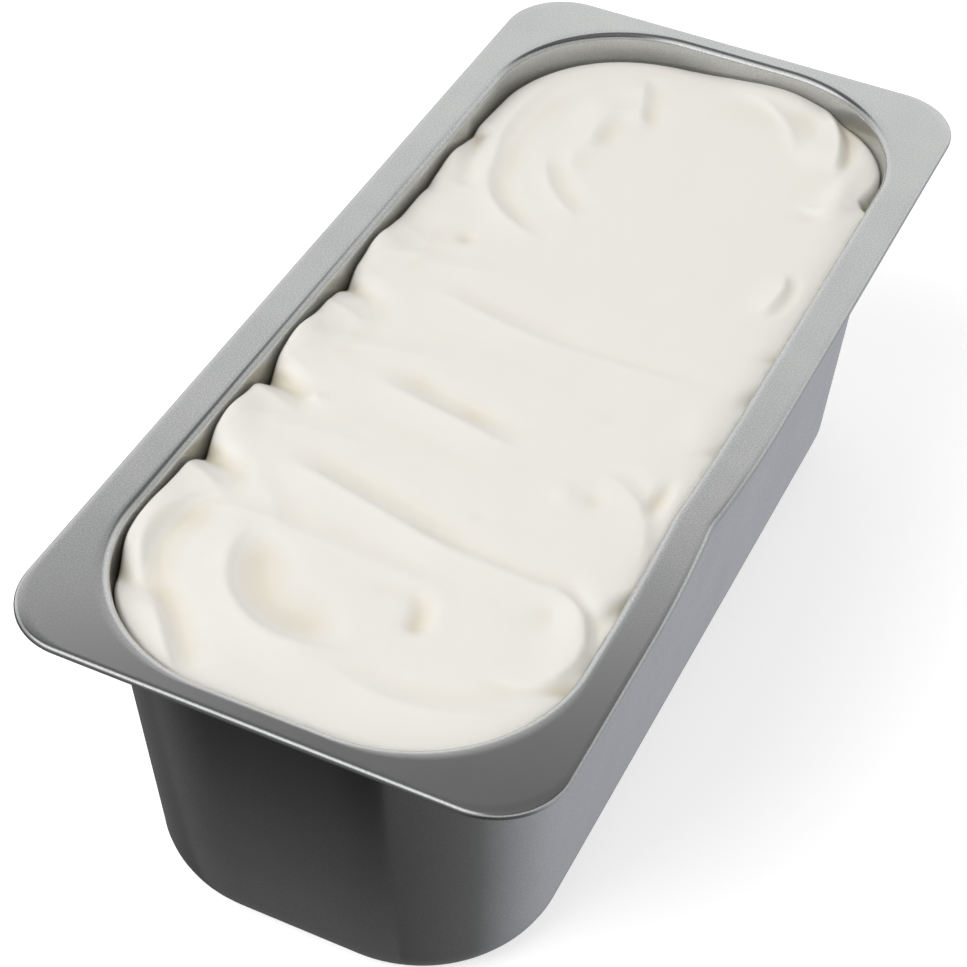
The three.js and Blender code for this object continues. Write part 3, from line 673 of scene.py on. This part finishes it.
glow = add_node(world.node_tree, "ShaderNodeMapRange", {
    "Value": to_glow, "From Min": GLOW_EDGE, "From Max": GLOW_FULL, "To Max": GLOW},
    interpolation_type="SMOOTHSTEP")[0]
sky = add_node(world.node_tree, "ShaderNodeVectorMath", (sky, glow), operation="ADD")[0]
above = add_node(world.node_tree, "ShaderNodeMapRange",
                 {"Value": up, "From Min": HORIZON_LOW, "From Max": HORIZON_HIGH})[0]
room = add_node(world.node_tree, "ShaderNodeMix", {0: above, 6: ramps[1], 7: sky}, data_type="RGBA")[2]
background = add_node(world.node_tree, "ShaderNodeBackground", {"Color": room, "Strength": 1.0})[0]
add_node(world.node_tree, "ShaderNodeOutputWorld", {"Surface": background})

# name, place, point it faces, width and height in metres, power in watts
PANELS = [
    ("key panel", (-2.3, -3.0, 3.6), (0, 0, 0.1), 3.6, 3.6, 106),
    ("fill panel", (3.5, -1.6, 2.8), (0, 0, 0.1), 4.4, 4.4, 30),
]
for name, panel_place, target, width, depth, power in PANELS:
    panel = bpy.data.lights.new(name, "AREA")
    panel.shape = "RECTANGLE"
    panel.size, panel.size_y, panel.energy = width, depth, power
    lamp = bpy.data.objects.new(name, panel)
    lamp.location = panel_place
    lamp.rotation_euler = (Vector(target) - Vector(panel_place)).to_track_quat("-Z", "Y").to_euler()
    lamp.visible_glossy = False
    bpy.context.scene.collection.objects.link(lamp)

# Camera: above the near right corner, turned a little, as the photograph was taken.
PHOTO_PIXELS = 967
FOCAL_PIXELS = 2497.5
SENSOR = 36.0
AZIMUTH, ELEVATION, ROLL = (math.radians(angle) for angle in (23.593, 43.001, 2.635))
AIM = Vector((14.42, -68.39, 120.0)) * MM
DISTANCE = 718.5 * MM
back = Vector((math.sin(AZIMUTH) * math.cos(ELEVATION), -math.cos(AZIMUTH) * math.cos(ELEVATION),
               math.sin(ELEVATION)))
level = (-back).cross(Vector((0, 0, 1))).normalized()
upright = level.cross(-back)
right = math.cos(ROLL) * level + math.sin(ROLL) * upright
upright = -math.sin(ROLL) * level + math.cos(ROLL) * upright
lens = bpy.data.cameras.new("camera")
lens.sensor_width = SENSOR
lens.lens = FOCAL_PIXELS * SENSOR / PHOTO_PIXELS
lens.clip_start, lens.clip_end = 0.01, 20
camera = bpy.data.objects.new("camera", lens)
camera.matrix_world = Matrix.Translation(AIM + back * DISTANCE) @ Matrix(
    (right, upright, back)).transposed().to_4x4()
bpy.context.scene.collection.objects.link(camera)
bpy.context.scene.camera = camera
bpy.context.scene.view_settings.view_transform = "Standard"
